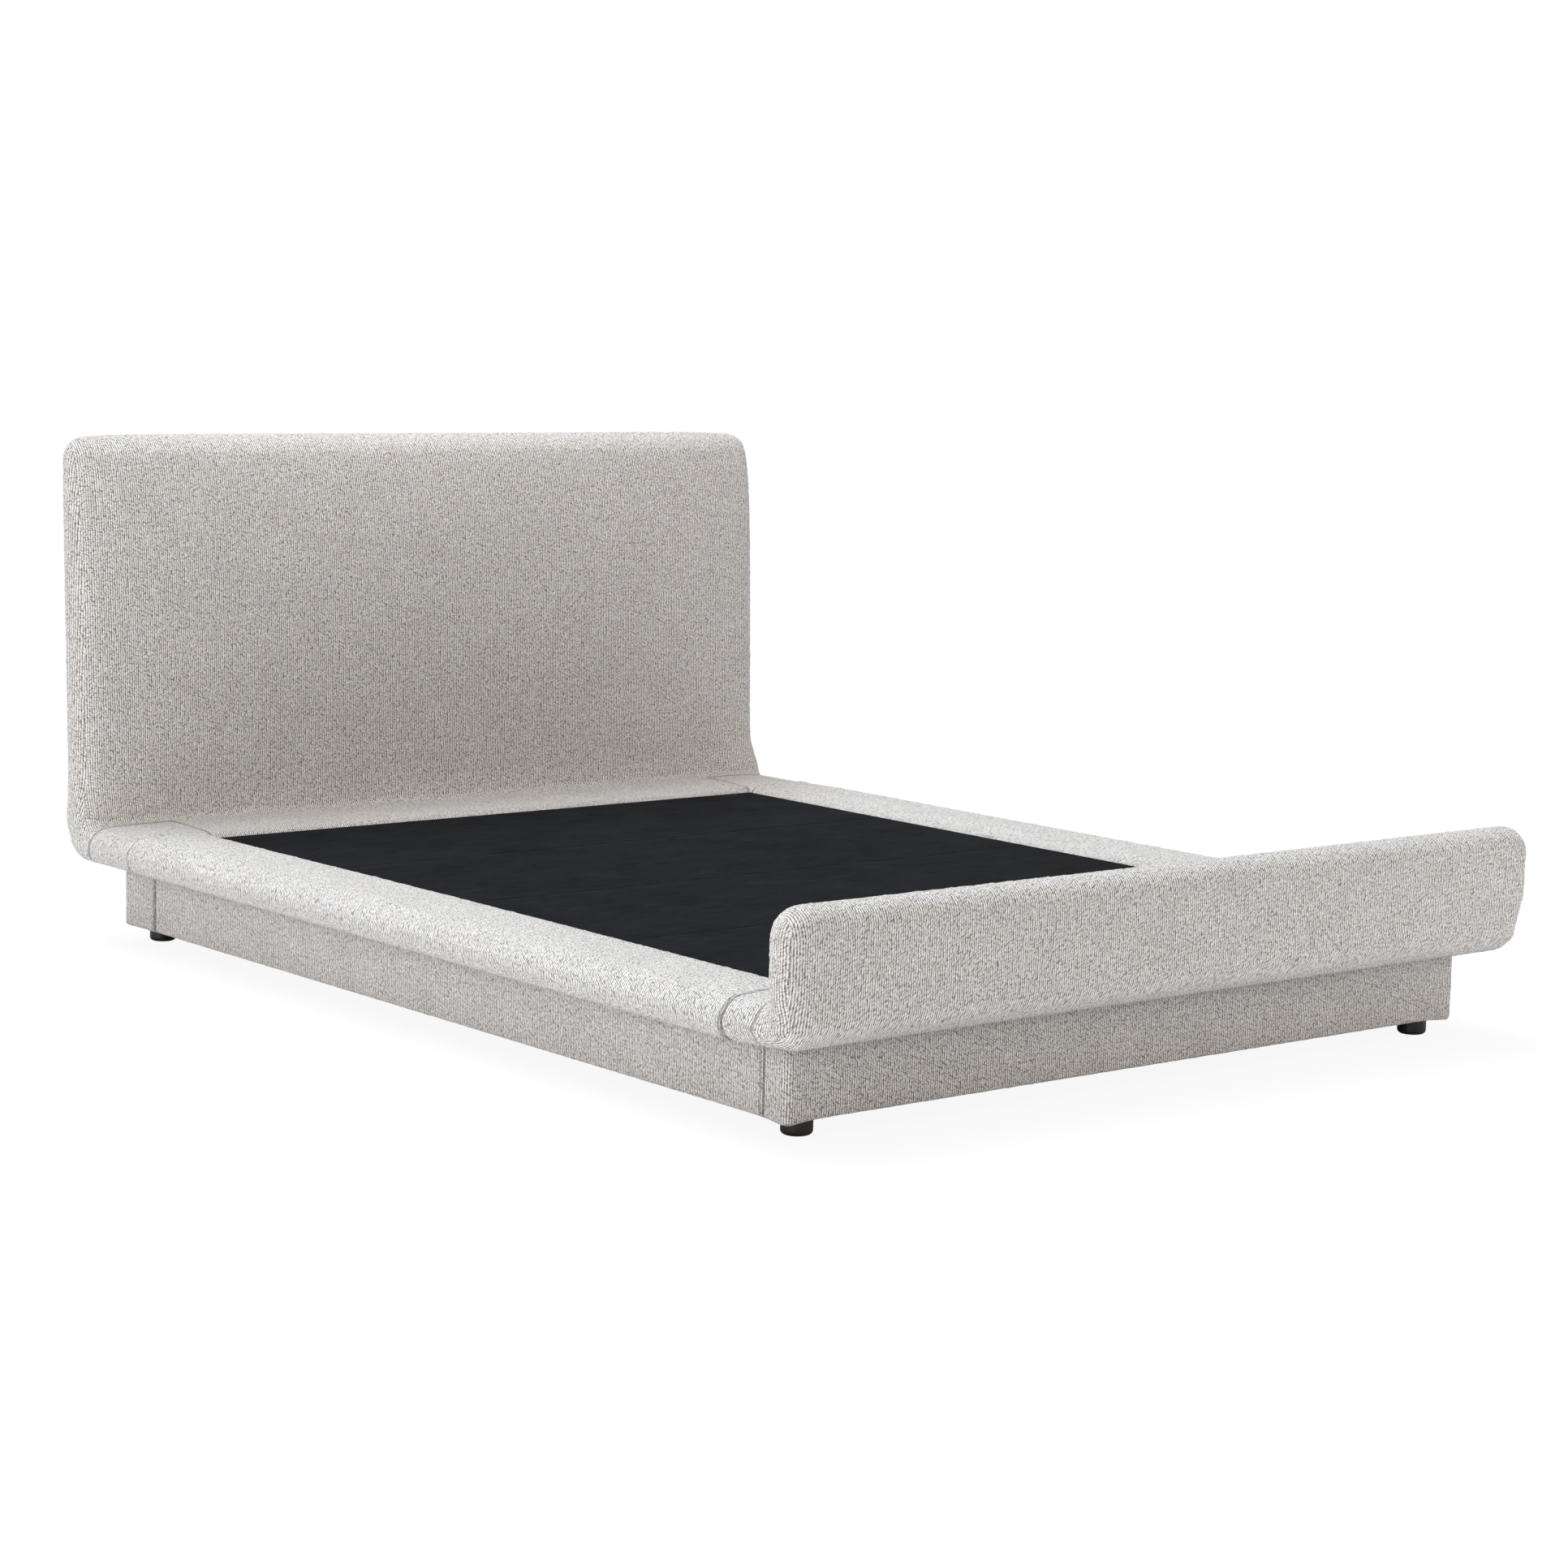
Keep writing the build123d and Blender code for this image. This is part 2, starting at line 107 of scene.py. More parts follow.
LENS_PER_WIDTH = 4370.2 / 1932.0
SENSOR = 36.0
EYE = Vector((-4.8127, -6.0137, 1.4737))
YAW = math.radians(39.155)
PITCH = math.radians(7.624)
ROLL = math.radians(1.343)


def make_camera():
    """A camera at the eye, turned by yaw, pitch and roll."""
    data = bpy.data.cameras.new("camera")
    data.sensor_width = SENSOR
    data.lens = SENSOR * LENS_PER_WIDTH
    data.clip_end = 60.0
    camera = bpy.data.objects.new("camera", data)
    bpy.context.scene.collection.objects.link(camera)
    look = Vector((math.sin(YAW) * math.cos(PITCH), math.cos(YAW) * math.cos(PITCH), -math.sin(PITCH)))
    right = Vector((math.cos(YAW), -math.sin(YAW), 0.0))
    up = right.cross(look)
    tilted_right = math.cos(ROLL) * right + math.sin(ROLL) * up
    tilted_up = -math.sin(ROLL) * right + math.cos(ROLL) * up
    turn = Matrix((tilted_right, tilted_up, -look)).transposed().to_4x4()
    camera.matrix_world = Matrix.Translation(EYE) @ turn
    bpy.context.scene.camera = camera


# ---------------------------------------------------------------- smooth solids from fields

def lengths(*parts):
    """Length of each vector, from its components."""
    return np.sqrt(sum(np.square(p) for p in parts))


def rounded(walls, radius):
    """A convex solid from its walls' depths, with the edges where they meet rounded."""
    over = [np.maximum(radius + wall, 0.0) for wall in walls]
    deepest = np.maximum.reduce([radius + wall for wall in walls])
    return lengths(*over) + np.minimum(deepest, 0.0) - radius


def grid_line(start, stop, step, seams, fine=0.0012, reach=0.011):
    """Evenly spaced places, with closer ones beside the seams."""
    places = np.arange(start - 1.5 * step, stop + 2.5 * step, step)
    for seam in seams:
        places = places[np.abs(places - seam) > reach + 0.6 * step]
        places = np.concatenate([places, seam + np.arange(-reach, reach + fine / 2, fine) + 0.17 * fine])
    return np.sort(places)


def surface_of(field, low, high, step, seams=()):
    """Quads on the field's zero surface, from one point in each cell that it crosses."""
    axes = [grid_line(a, b, step, seams if n == 1 else ()) for n, (a, b) in enumerate(zip(low, high))]
    shape = [len(a) for a in axes]
    grid = np.stack(np.meshgrid(*axes, indexing="ij"), -1)
    value = field(grid.reshape(-1, 3)).reshape(shape)
    inside = value < 0
    cells = [n - 1 for n in shape]
    total = np.zeros(cells + [3])
    count = np.zeros(cells)
    corners = [(i, j, k) for i in (0, 1) for j in (0, 1) for k in (0, 1)]
    for a in corners:
        for axis in range(3):
            if a[axis]:
                continue
            b = tuple(c + (n == axis) for n, c in enumerate(a))
            cut_a = tuple(slice(c, c + n) for c, n in zip(a, cells))
            cut_b = tuple(slice(c, c + n) for c, n in zip(b, cells))
            va, vb = value[cut_a], value[cut_b]
            crosses = (va < 0) != (vb < 0)
            t = np.where(crosses, va / np.where(crosses, va - vb, 1.0), 0.0)
            at = np.zeros(cells + [3]) + np.array(a)
            at[..., axis] += t
            total += np.where(crosses[..., None], at, 0.0)
            count += crosses
    used = count > 0
    number = np.full(cells, -1)
    number[used] = np.arange(used.sum())
    place = np.argwhere(used) + total[used] / count[used][:, None]
    points = np.stack([np.interp(place[:, n], np.arange(len(axes[n])), axes[n]) for n in range(3)], 1)
    faces = []
    for axis in range(3):
        one, two = [n for n in range(3) if n != axis]
        if axis == 1:
            one, two = two, one
        lower = [slice(1, -1)] * 3
        upper = [slice(1, -1)] * 3
        lower[axis], upper[axis] = slice(0, -1), slice(1, None)
        start, stop = inside[tuple(lower)], inside[tuple(upper)]
        for leaving in (True, False):
            at = np.argwhere((start & ~stop) if leaving else (~start & stop))
            at = at + np.array([0 if n == axis else 1 for n in range(3)])
            ring = []
            for da, db in ((0, 0), (-1, 0), (-1, -1), (0, -1)):
                cell = at.copy()
                cell[:, one] += da
                cell[:, two] += db
                ring.append(number[cell[:, 0], cell[:, 1], cell[:, 2]])
            quad = np.stack(ring, 1)
            faces.append(quad if leaving else quad[:, ::-1])
    faces = np.concatenate(faces)
    return points, faces[(faces >= 0).all(axis=1)]


def slopes(field, points, reach=0.0005):
    """The field's gradient at each point."""
    parts = []
    for axis in range(3):
        shift = np.zeros(3)
        shift[axis] = reach
        parts.append((field(points + shift) - field(points - shift)) / (2 * reach))
    return np.stack(parts, 1)


def settle(field, points, times=4):
    """Moves points on to the field's zero surface."""
    for _ in range(times):
        slope = slopes(field, points)
        points = points - field(points)[:, None] * slope / np.maximum((slope**2).sum(1), 0.05)[:, None]
    return points


# ---------------------------------------------------------------- the padded shapes

def ramped(value, start, stop):
    """Goes smoothly from 0 at the start to 1 at the stop."""
    t = np.clip((value - start) / (stop - start), 0.0, 1.0)
    return t * t * (3.0 - 2.0 * t)


def well_distance(p):
    """Distance outwards from the mattress well's outline."""
    dx = np.abs(p[:, 0]) - WELL_HALF
    dy = np.maximum(p[:, 1] - WELL_BACK, WELL_FRONT - p[:, 1])
    return np.hypot(np.maximum(dx, 0.0), np.maximum(dy, 0.0)) + np.minimum(np.maximum(dx, dy), 0.0)


def ledge_top(p):
    """Height of the cushioned ledge, crowned between the well and the outer edge."""
    well = np.maximum(well_distance(p), 0.0)
    edge = np.maximum(HALF - np.abs(p[:, 0]), 0.0)
    across = well / np.maximum(well + edge, 1e-6)
    return LEDGE + 0.001 - LEDGE_DROOP * np.square(2.0 * across - 1.0)


def joined(a, b, radius):
    """Two slabs that meet in an L, with a fillet in the inside corner."""
    return -rounded([-a, -b], radius)


def well_roll(p, cushion):
    """The rounded edge where the cushioned top turns down to the deck."""
    return rounded([-well_distance(p), cushion], INNER_ROLL)


def soft_edge(distance, depth, reach):
    """How far a padded face falls away as it nears its edge."""
    return depth * np.exp(-np.maximum(distance, 0.0) / reach)


def seam_end(shape, wall):
    """Cuts a padded shape at a seam, tucked in a little as sewn cloth is."""
    return rounded([shape, wall + SEAM_GAP], SEAM_TUCK)


def stitched(y):
    """How far the cloth is drawn in by the rows of stitching beside the foot seam."""
    off = np.abs(y - FOOT_SEAM)
    rows = STITCH_DEPTH * np.exp(-np.square((off - STITCH_OFF) / 0.0014))
    return rows - 0.0008 * np.exp(-np.square(off / 0.0030))


def bullnose(z):
    """Radius of the ledge's outer edge, fuller above than below."""
    return BULLNOSE_LOW + (BULLNOSE_HIGH - BULLNOSE_LOW) * ramped(z, UNDER + 0.030, UNDER + 0.055)


def half_width(z):
    """Half the bed's width, a little less above the ledge."""
    return HALF - 0.005 * ramped(z, LEDGE - 0.02, LEDGE + 0.08)


def head_field(p):
    """The headboard and the head ledge, one L-shaped pad."""
    x, z = np.abs(p[:, 0]), p[:, 2]
    y = p[:, 1] - np.maximum(z - LEDGE, 0.0) * LEAN
    side = half_width(z) - x
    up = HEAD_TOP - z
    middle = np.cos(np.clip(x / HALF, 0, 1) * math.pi / 2)
    crown = CROWN * middle * np.sin(np.clip(up / HEAD_FACE, 0, 1) * math.pi)
    soft = soft_edge(up, 0.046, 0.090) + soft_edge(side, 0.033, 0.080) - crown
    front = HEAD_FRONT - y + soft * ramped(z, LEDGE - 0.01, LEDGE + 0.10)
    cushion = joined(front, z - ledge_top(p), CREASE)
    back = y - HEAD_BACK + 0.25 * soft_edge(up, 0.020, 0.06) + 0.5 * soft_edge(side, 0.012, 0.05)
    heel = rounded([UNDER - z, back], HEEL)
    outline = rounded([-side, -up], HEAD_ROUND)
    turn = bullnose(z) + (HEAD_ROUND - BULLNOSE_HIGH) * ramped(z, LEDGE - 0.02, LEDGE + 0.16)
    shape = np.maximum(rounded([outline, cushion, heel], turn), well_roll(p, cushion))
    return seam_end(shape, HEAD_SEAM - p[:, 1])


def foot_field(p):
    """The footboard and the foot ledge; its lower right corner is the rounder one."""
    x, y, z = np.abs(p[:, 0]), p[:, 1], p[:, 2]
    side = half_width(z) - x
    up = FOOT_TOP - z
    soft = soft_edge(up, 0.003, 0.03) + soft_edge(side, 0.003, 0.03) - 0.003
    cushion = joined(y - FOOT_INNER + soft, z - ledge_top(p), FOOT_CREASE)
    heel = rounded([UNDER - z, FOOT_FRONT - y + soft], FOOT_HEEL)
    outline = rounded([-side, -up], FOOT_CORNER)
    low = ramped(-z, -0.330, -0.215) * ramped(-y, 1.215, 1.290)
    turn = bullnose(z) + (FOOT_ROUND - BULLNOSE_HIGH) * ramped(z, LEDGE - 0.03, LEDGE + 0.03)
    turn += FOOT_FULLER * low
    extra = np.where(p[:, 0] > 0, RIGHT_ROUNDER, LEFT_ROUNDER)
    extra = extra * (1.0 - ramped(y, FOOT_INNER - 0.045, FOOT_INNER - 0.012))
    corner = LOW_CORNER + extra - 0.016 * ramped(y, FOOT_INNER, FOOT_INNER + 0.08)
    low_corner = rounded([-side, UNDER - z], corner)
    shape = np.maximum(rounded([outline, cushion, heel], turn), well_roll(p, cushion))
    shape = np.maximum(shape, low_corner)
    tongue = np.where(x < WELL_HALF + 0.002, y - WELL_FRONT, y - FOOT_SEAM)
    return seam_end(shape + np.where(x > WELL_HALF, stitched(y), 0.0), tongue)


def rail_field(side):
    """The padded side ledge between its two seams, on the left (-1) or the right (1)."""
    def field(p):
        top = ledge_top(p)
        middle, half = (top + UNDER) / 2, (top - UNDER) / 2
        outer = np.maximum(side * p[:, 0] - HALF, WELL_HALF - side * p[:, 0])
        nose = rounded([outer, np.abs(p[:, 2] - middle) - half], bullnose(p[:, 2]))
        inner = rounded([WELL_HALF - side * p[:, 0], np.abs(p[:, 2] - middle) - half], 0.004)
        shape = np.maximum(np.where(side * p[:, 0] > 0.88, nose, inner), well_roll(p, p[:, 2] - top))
        shape = shape + stitched(p[:, 1])
        ends = [p[:, 1] - HEAD_SEAM + SEAM_GAP, FOOT_SEAM - p[:, 1] + SEAM_GAP]
        return rounded([shape, *ends], SEAM_TUCK)
    return field


# ---------------------------------------------------------------- weave coordinates

def turn_excess(angle, radius):
    """Arc length round a corner less the distance along its two sides, for an angle from one side."""
    return radius * (angle - np.sin(angle) + np.cos(angle) - 1.0)


def bent(distance, outward, radius):
    """Arc length on cloth that curves away sideways, from the flat distance and the normal's lean."""
    angle = np.arcsin(np.clip(outward, 0.0, 0.95))
    return distance + radius * (angle - np.sin(angle))


def over_nose(x, out, lift):
    """Arc length from the middle of the bed over the ledge's rounded outer edge and back underneath."""
    centre = HALF - NOSE
    angle = np.arctan2(np.maximum(out, 0.0), lift)
    upper = np.abs(x) + NOSE * (angle - np.sin(angle))
    lower = 2.0 * centre - np.abs(x) + NOSE * (angle + np.sin(angle))
    return np.where(angle < math.pi / 2, upper, lower)


def ribbon(p, n, m, front, top, back, deep, edge_round):
    """Columns run up the face, over the top and down the back of a module that faces along `front`.

    n is the normal of the face, which chooses the panel, and m the smooth normal at the point.
    """
    x, y, z = p.T
    y = front * y
    across, depth, lift = np.abs(n[:, 0]), front * n[:, 1], n[:, 2]
    over = turn_excess(np.arctan2(np.clip(m[:, 2], 0, 1), np.abs(m[:, 1]) + 1e-9), edge_round)
    over = np.where(z > top - 1.2 * edge_round, over, 0.0)
    total = -0.43 * edge_round
    slab = y > back - deep
    climbing = y + z + over
    falling = y - z + 2.0 * top + 2.0 * total - over
    under = -y - z + 2.0 * top + 2.0 * back + 2.0 * total
    v = np.where(depth > 0.35, falling, climbing)
    v = np.where((lift < -0.6) & (z < LEDGE), under, v)
    inside = slab | (np.abs(x) < WELL_HALF)
    v = np.where(inside, v, over_nose(x, np.abs(m[:, 0]), m[:, 2]))
    u = np.where(inside, bent(np.abs(x), np.abs(m[:, 0]), edge_round), y)
    flank = (across > 0.72) & slab
    u = np.where(flank, HALF + y - back, u)
    v = np.where(flank, z + back, v)
    return np.stack([np.sign(x) * u, v], 1)


def head_weave(p, n, m):
    return ribbon(p, n, m, 1.0, HEAD_TOP, HEAD_BACK, 0.150, HEAD_ROUND)


def foot_weave(p, n, m):
    return ribbon(p, n, m, -1.0, FOOT_TOP, -FOOT_FRONT, 0.100, FOOT_ROUND)


def rail_weave(p, n, m):
    """Columns run along the rail; rows go from the well over the top and round the outer edge."""
    x, y, z = p.T
    out, lift = np.sign(x) * m[:, 0], m[:, 2]
    fall = np.arctan2(np.maximum(-out, 0.0), np.maximum(lift, 0.0) + 1e-9)
    inner = np.abs(x) - INNER_ROLL * (fall - np.sin(fall)) - np.maximum(LEDGE - INNER_ROLL - z, 0.0)
    return np.stack([y, np.where(np.abs(x) < WELL_HALF + INNER_ROLL, inner, over_nose(x, out, lift))], 1)


# ---------------------------------------------------------------- mesh helpers

def new_object(name, points, faces):
    """A smooth-shaded mesh object in the scene."""
    mesh = bpy.data.meshes.new(name)
    mesh.from_pydata([tuple(p) for p in points], [], [tuple(f) for f in faces])
    mesh.validate()
    mesh.update()
    mesh.polygons.foreach_set("use_smooth", [True] * len(mesh.polygons))
    piece = bpy.data.objects.new(name, mesh)
    bpy.context.scene.collection.objects.link(piece)
    return piece


def vertex_array(mesh, what="co"):
    """The mesh's points, or its point normals, as rows."""
    data = np.zeros(len(mesh.vertices) * 3)
    mesh.vertices.foreach_get(what, data)
    return data.reshape(-1, 3)


def set_points(mesh, points):
    mesh.vertices.foreach_set("co", np.asarray(points, float).ravel())
    mesh.update()


def loop_vertices(mesh):
    """The point that each face corner belongs to."""
    loops = np.zeros(len(mesh.loops), int)
    mesh.loops.foreach_get("vertex_index", loops)
    return loops


def store_weave(mesh, uv):
    """Stores weave coordinates in metres, one for each corner of each face."""
    layer = mesh.uv_layers.new(name="weave")
    layer.data.foreach_set("uv", uv.ravel())


def store_painted_shade(mesh, groove):
    """How much painted shade each point gets, from 0 to 1, in a seam or under a fold."""
    layer = mesh.attributes.new("groove", "FLOAT", "POINT")
    layer.data.foreach_set("value", np.clip(groove, 0.0, 1.0))


def painted_seam_and_fold_shade(p):
    """Painted shade in the stitched foot seam, in the plain seam beside the headboard, and in the fold
    against the plinth.
    """
    x, y = np.abs(p[:, 0]), p[:, 1]
    foot = np.abs(y - FOOT_SEAM)
    # Painted shade in the seam grooves: two stitch rows and the seam line at the foot, one plain seam at
    # the head.
    rows = np.exp(-np.square((foot - STITCH_OFF) / 0.0021)) + 0.35 * np.exp(-np.square(foot / 0.0012))
    plain = 0.8 * np.exp(-np.square((y - HEAD_SEAM) / 0.0026))
    # Painted shade under the ledge, darkest where it meets the plinth.
    under = 0.6 * np.exp(-np.maximum(p[:, 2] - UNDER, 0.0) / 0.005)
    return np.where(x > WELL_HALF - 0.002, rows + plain, 0.0) + under


def corner_normals(mesh):
    """The normal of its face for each face corner."""
    normals = np.zeros(len(mesh.polygons) * 3)
    mesh.polygons.foreach_get("normal", normals)
    sizes = np.zeros(len(mesh.polygons), int)
    mesh.polygons.foreach_get("loop_total", sizes)
    return np.repeat(normals.reshape(-1, 3), sizes, axis=0)


def neighbours_mean(mesh, values):
    """Each point's value averaged with those at the other ends of its edges."""
    edges = np.zeros(len(mesh.edges) * 2, int)
    mesh.edges.foreach_get("vertices", edges)
    edges = edges.reshape(-1, 2)
    total = values.copy()
    count = np.ones(len(values))
    np.add.at(total, edges[:, 0], values[edges[:, 1]])
    np.add.at(total, edges[:, 1], values[edges[:, 0]])
    np.add.at(count, edges.ravel(), 1)
    return total / count.reshape([-1] + [1] * (values.ndim - 1))


def nubs(piece, height, tall=0.0, share=0.06):
    """Small uneven loops of yarn that show at the cloth's outline, with some taller ones among them."""
    mesh = piece.data
    count = len(mesh.vertices)
    rough = rng.normal(size=count)
    soft = neighbours_mean(mesh, rng.normal(size=count))
    chosen = rng.random(count) < share
    knots = neighbours_mean(mesh, np.where(chosen, rng.uniform(0.5, 1.0, count), 0.0) * 3.0)
    normals = vertex_array(mesh, "normal")
    push = height * (0.5 * rough + 0.9 * soft) + tall * knots
    push *= ramped(np.abs(vertex_array(mesh)[:, 1] - FOOT_SEAM), 0.004, 0.014)
    set_points(mesh, vertex_array(mesh) + normals * push[:, None])


# ---------------------------------------------------------------- cloth over the padding

# Nothing stops the cloth but its sewn edges, and the pressure blows it out far past the padding: half
# the free points of the headboard go more than 0.25 m, of the footboard 0.04 m and of the rails
# 0.015 m. So the cap sets how far nearly every point moves, and the simulation only which way.
CLOTH_STEP = 0.022          # spacing of the points that the cloth is simulated at
CLOTH_PRESSURE = 4.0
CLOTH_FRAMES = 20
CLOTH_REACH = 0.0025        # the furthest that the cloth moves a point
SEWN = 0.02                 # the cloth is held this far either side of a seam
NEAREST = 5                 # how many of the coarse points each fine one follows
NUB = 0.0005
TALL_NUB = 0.0010


def held(p):
    """Where the cloth is sewn or stapled down: at the seams, round the well and underneath."""
    x, y, z = np.abs(p[:, 0]), p[:, 1], p[:, 2]
    seam = (np.abs(y - FOOT_SEAM) < SEWN) | (np.abs(y - HEAD_SEAM) < SEWN)
    well = (well_distance(p) < SEWN) & (z < LEDGE + SEWN)
    crease = (np.abs(y - HEAD_FRONT) < 0.03) & (x < HALF - 0.06)
    crease &= (z < LEDGE + 0.04) & (z > UNDER + 0.05)
    return (seam & (z < LEDGE + 0.03)) | well | crease | (z < UNDER + 0.012)


def blown(field, low, high):
    """Runs Blender's Cloth on a coarse copy, and gives its points and how far each moves, capped."""
    points, faces = surface_of(field, low, high, CLOTH_STEP)
    points = settle(field, points)
    copy = new_object("cloth_copy", points, faces)
    group = copy.vertex_groups.new(name="held")
    group.add(np.flatnonzero(held(points)).tolist(), 1.0, "REPLACE")
    cloth = copy.modifiers.new("cloth", "CLOTH")
    cloth.settings.use_pressure = True
    cloth.settings.uniform_pressure_force = CLOTH_PRESSURE
    cloth.settings.vertex_group_mass = "held"
    cloth.settings.quality = 5
    cloth.settings.effector_weights.gravity = 0.0
    cloth.collision_settings.use_collision = False
    cloth.point_cache.frame_start, cloth.point_cache.frame_end = 1, CLOTH_FRAMES
    for number in range(1, CLOTH_FRAMES + 1):
        bpy.context.scene.frame_set(number)
    graph = bpy.context.evaluated_depsgraph_get()
    moved = vertex_array(copy.evaluated_get(graph).to_mesh())
    bpy.data.objects.remove(copy)
    bpy.context.scene.frame_set(1)
    push = moved - points
    normals = slopes(field, points)
    normals /= np.maximum(lengths(*normals.T), 1e-9)[:, None]
    loose = ~held(points)
    swell = np.median((push * normals).sum(1)[loose])
    push -= swell * normals * loose[:, None]
    far = lengths(*push.T)[:, None]
    return points, push * np.minimum(1.0, CLOTH_REACH / np.maximum(far, 1e-9))


def pushed(points, source, push):
    """Spreads the cloth's movement from the coarse points to fine ones."""
    tree = KDTree(len(source))
    for number, place in enumerate(source):
        tree.insert(place, number)
    tree.balance()
    near = [tree.find_n(place, NEAREST) for place in points]
    index = np.array([[hit[1] for hit in hits] for hits in near])
    weight = 1.0 / (np.array([[hit[2] for hit in hits] for hits in near]) + 0.004) ** 2
    weight /= weight.sum(1)[:, None]
    return points + (push[index] * weight[..., None]).sum(1)


def padded_piece(name, field, low, high, step, weave, replaced, seams):
    """A padded piece with its weave coordinates, its cloth's movement and its nubs."""
    points, faces = surface_of(field, low, high, step, seams)
    points = settle(field, points)
    piece = new_object(name, points, faces)
    mesh = piece.data
    corners = loop_vertices(mesh)
    smooth = slopes(field, vertex_array(mesh))
    smooth /= np.maximum(lengths(*smooth.T), 1e-9)[:, None]
    store_weave(mesh, weave(vertex_array(mesh)[corners], corner_normals(mesh), smooth[corners]))
    # Painted shade for the seams and the fold under the ledge, stored as the "groove" attribute.
    store_painted_shade(mesh, painted_seam_and_fold_shade(vertex_array(mesh)))
    set_points(mesh, pushed(vertex_array(mesh), *blown(field, low, high)))
    nubs(piece, NUB, TALL_NUB)
    mesh.materials.append(boucle)
    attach(piece, ROOT)
    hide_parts(*replaced)


# ---------------------------------------------------------------- material helpers

def new_material(name):
    material = bpy.data.materials.new(name)
    material.use_nodes = True
    tree = material.node_tree
    tree.nodes.clear()
    out = tree.nodes.new("ShaderNodeOutputMaterial")
    shader = tree.nodes.new("ShaderNodeBsdfPrincipled")
    tree.links.new(shader.outputs["BSDF"], out.inputs["Surface"])
    return material, tree, shader


def math_node(tree, operation, a, b=None, c=None, clamp=False):
    node = tree.nodes.new("ShaderNodeMath")
    node.operation = operation
    node.use_clamp = clamp
    for socket, value in zip(node.inputs, (a, b, c)):
        if value is None:
            continue
        if isinstance(value, (int, float)):
            socket.default_value = value
        else:
            tree.links.new(value, socket)
    return node.outputs[0]


def ramp(tree, value, stops):
    node = tree.nodes.new("ShaderNodeValToRGB")
    tree.links.new(value, node.inputs["Fac"])
    elements = node.color_ramp.elements
    while len(elements) < len(stops):
        elements.new(0.5)
    for element, (place, colour) in zip(elements, stops):
        element.position = place
        element.color = (*colour, 1.0)
    return node.outputs["Color"]


def noise(tree, vector, scale, detail, roughness):
    node = tree.nodes.new("ShaderNodeTexNoise")
    node.inputs["Scale"].default_value = scale
    node.inputs["Detail"].default_value = detail
    node.inputs["Roughness"].default_value = roughness
    tree.links.new(vector, node.inputs["Vector"])
    return node.outputs["Fac"]


def mix_colour(tree, factor, a, b, blend="MIX"):
    """Mixes two colours, each a socket or a tuple."""
    node = tree.nodes.new("ShaderNodeMix")
    node.data_type = "RGBA"
    node.blend_type = blend
    for name, value in (("Factor", factor), ("A", a), ("B", b)):
        kind = "VALUE" if name == "Factor" else "RGBA"
        sockets = [s for s in node.inputs if s.name == name and s.type == kind]
        if isinstance(value, (int, float)):
            sockets[0].default_value = value
        elif isinstance(value, tuple):
            sockets[0].default_value = (*value, 1.0)
        else:
            tree.links.new(value, sockets[0])
    return [s for s in node.outputs if s.type == "RGBA"][0]


def bump(tree, height, distance):
    node = tree.nodes.new("ShaderNodeBump")
    node.inputs["Distance"].default_value = distance
    node.inputs["Strength"].default_value = 1.0
    tree.links.new(height, node.inputs["Height"])
    return node.outputs["Normal"]


# ---------------------------------------------------------------- bouclé

COLUMN = 0.0053             # pitch of the knitted columns
LOOP = 0.0053               # pitch of the loops along a column
WANDER = 46.0               # how quickly the columns wander
BOUCLE_DEPTH = 0.0016
# Yarn colours by the loops' height: partly the yarn's own uneven tone, partly painted shade in the low
# places between the loops.
YARN_AND_PIT_SHADE = [
    (0.26, (0.12, 0.110, 0.100)),
    (0.44, (0.38, 0.366, 0.350)),
    (0.61, (0.645, 0.632, 0.615)),
    (0.90, (0.88, 0.873, 0.863)),
]
# Colour of the painted shade in the seams and under the ledge.
PAINTED_SHADE = (0.075, 0.070, 0.064)


def voronoi(tree, vector, scale, randomness):
    node = tree.nodes.new("ShaderNodeTexVoronoi")
    node.voronoi_dimensions = "2D"
    node.inputs["Scale"].default_value = scale
    node.inputs["Randomness"].default_value = randomness
    tree.links.new(vector, node.inputs["Vector"])
    return node


